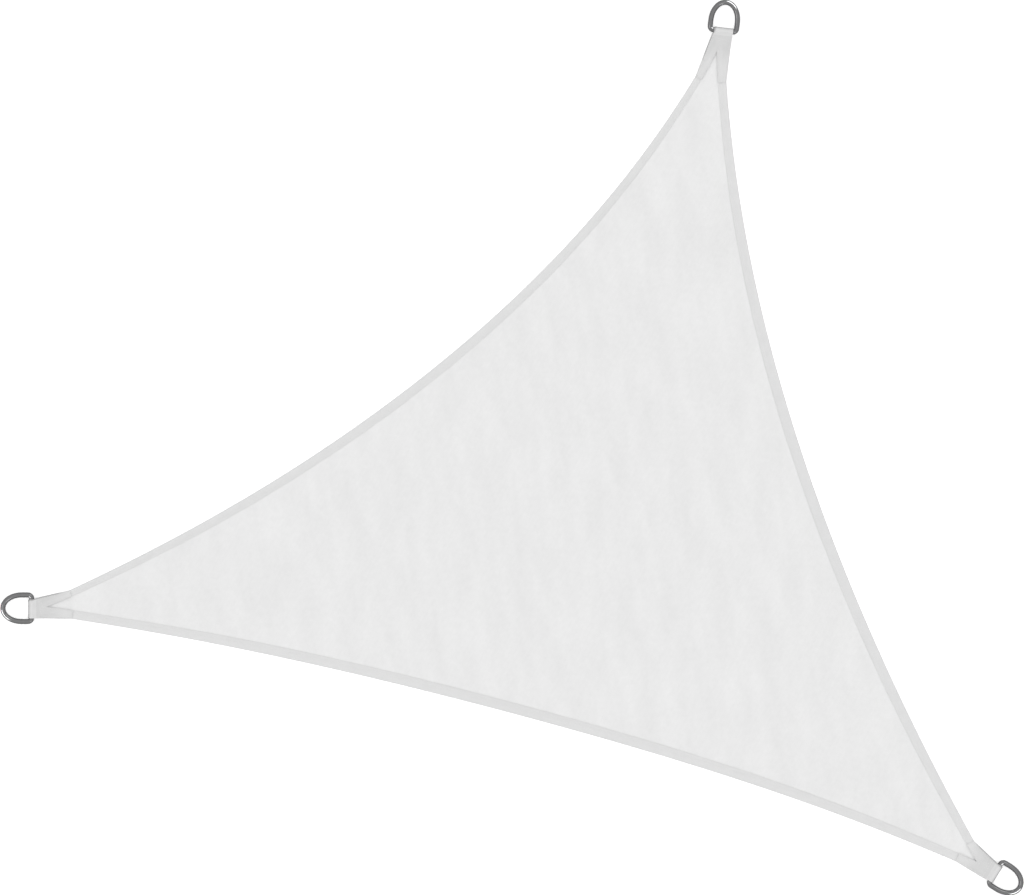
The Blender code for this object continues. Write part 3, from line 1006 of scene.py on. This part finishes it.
def makeFloor():
    bpy.ops.object.select_all(action="DESELECT")
    bpy.ops.mesh.primitive_plane_add(size=stage["floorSize"], location=(0, 0, -stage["floorDrop"]))
    floor = bpy.context.object
    floor.name = "floor"
    material, tree, shader = newMaterial("paleFloor", specular=0.0)
    shader.inputs["Base Color"].default_value = stage["floorColour"]
    shader.inputs["Roughness"].default_value = 0.9
    shader.inputs["Emission Color"].default_value = (1, 1, 1, 1)
    # the glow only whitens what the camera sees of it, and isn't reflected
    seen = tree.nodes.new("ShaderNodeLightPath").outputs["Is Camera Ray"]
    tree.links.new(calc(tree, "MULTIPLY", seen, stage["floorGlow"]), shader.inputs["Emission Strength"])
    floor.data.materials.append(material)


def directionTo(azimuth, height):
    flat = math.cos(math.radians(height))
    return Vector((flat * math.cos(math.radians(azimuth)), flat * math.sin(math.radians(azimuth)),
                   math.sin(math.radians(height))))


def placeLight(lamp, location, way):
    light = bpy.data.objects.new(lamp.name, lamp)
    light.rotation_euler = way.to_track_quat("Z", "Y").to_euler()
    light.location = location
    light.visible_camera = False
    scene.collection.objects.link(light)
    return light


def makeLights():
    world = bpy.data.worlds.new("studio")
    world.use_nodes = True
    tree = world.node_tree
    place = tree.nodes.new("ShaderNodeTexCoord")
    split = addNode(tree, "ShaderNodeSeparateXYZ", links={0: place.outputs["Generated"]})
    rising = rampBetween(tree, split.outputs["Z"], *stage["risesOver"])
    strength = calc(tree, "ADD", calc(tree, "MULTIPLY", rising, stage["world"] * (1 - stage["horizon"])),
                    stage["world"] * stage["horizon"])
    tree.links.new(strength, tree.nodes["Background"].inputs["Strength"])
    tree.nodes["Background"].inputs["Color"].default_value = (1, 1, 1, 1)
    scene.world = world
    for number, (azimuth, height, power, size) in enumerate(stage["suns"]):
        lamp = bpy.data.lights.new("softSun%d" % number, "SUN")
        lamp.energy = power
        lamp.angle = math.radians(size)
        way = directionTo(azimuth, height)
        placeLight(lamp, 5 * way, way)
    shiny = bpy.data.collections.new("shiny")
    for piece in rings:
        shiny.objects.link(piece)
    for corner, azimuth in stage["cards"].items():
        # a small card that gives the ring's bow its narrow highlight, and lights nothing else
        lamp = bpy.data.lights.new("card" + corner.capitalize(), "AREA")
        lamp.shape = "RECTANGLE"
        lamp.size, lamp.size_y = stage["cardSize"]
        lamp.energy = stage["cardPower"]
        low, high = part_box("ring_" + corner)
        way = directionTo(azimuth, stage["cardHeight"])
        light = placeLight(lamp, (low + high) / 2 + stage["cardDistance"] * way, way)
        light.light_linking.receiver_collection = shiny


def makeCamera():
    low, high = cadBox
    lens = bpy.data.cameras.new("overhead")
    lens.sensor_width = stage["sensor"]
    lens.lens = stage["sensor"] * stage["cameraHeight"] / ((high.x - low.x) * stage["margin"])
    lens.clip_end = 200.0
    camera = bpy.data.objects.new("overhead", lens)
    camera.location = ((low.x + high.x) / 2, (low.y + high.y) / 2, stage["cameraHeight"])
    scene.collection.objects.link(camera)
    scene.camera = camera


makeFloor()
makeLights()
makeCamera()
scene.view_settings.view_transform = "Standard"
print("stage set")
